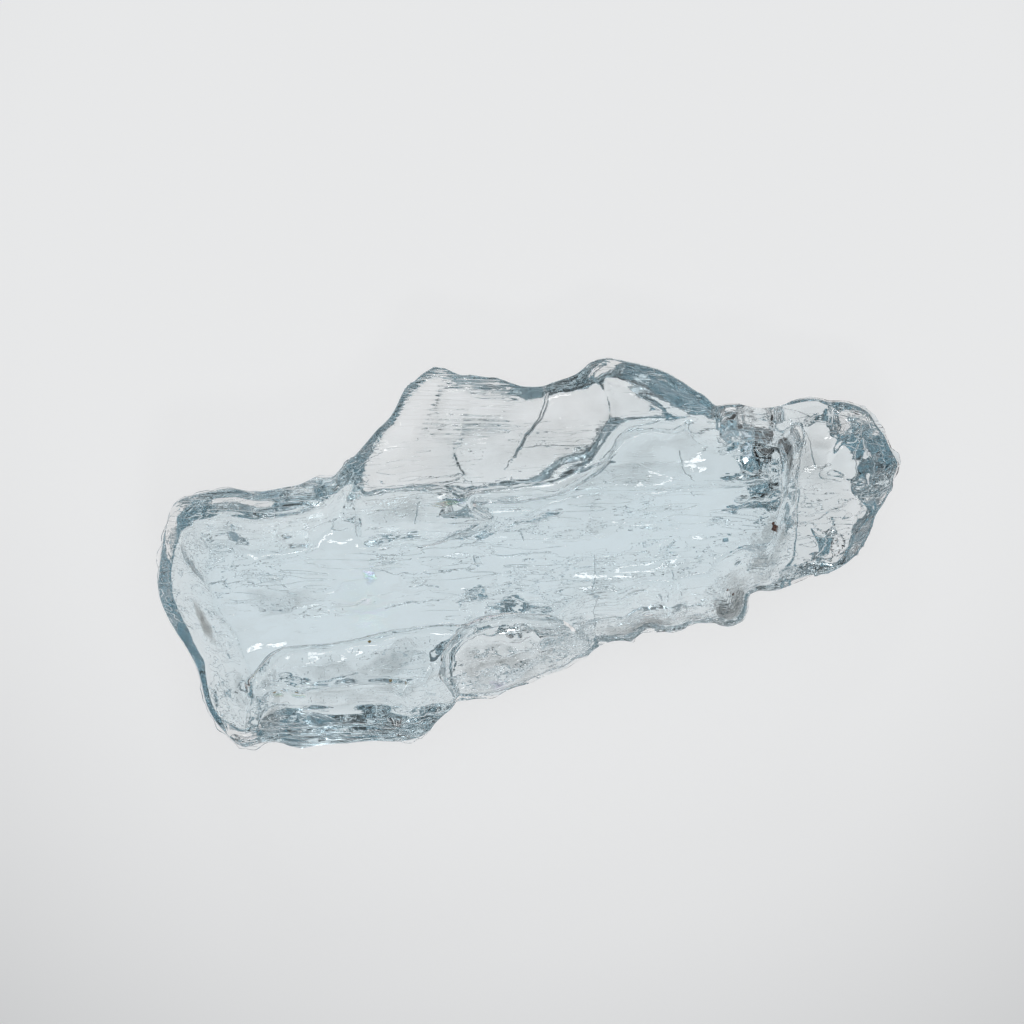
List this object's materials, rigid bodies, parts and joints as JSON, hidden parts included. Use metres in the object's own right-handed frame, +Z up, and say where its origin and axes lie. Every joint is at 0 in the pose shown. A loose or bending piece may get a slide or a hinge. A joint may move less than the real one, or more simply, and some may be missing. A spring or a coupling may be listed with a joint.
{
  "type": "aquamarine crystal",
  "caption": "Rough clear pale blue aquamarine: one long broken prism with a thin side fin, a low ledge, a notched neck and a pointed head.",
  "frame": {"origin": "under the middle of the piece, on the surface that it lies on", "axes": "+X along the crystal's long axis towards its pointed head, +Z up out of the broad front face, +Y towards the thin fin"},
  "size_m": [0.0248, 0.0132, 0.0063],
  "materials": {
    "beryl": "clear, natural broken surface"
  },
  "bodies": {
    "root": {"aquamarine_crystal": "beryl"}
  },
  "joints": []
}
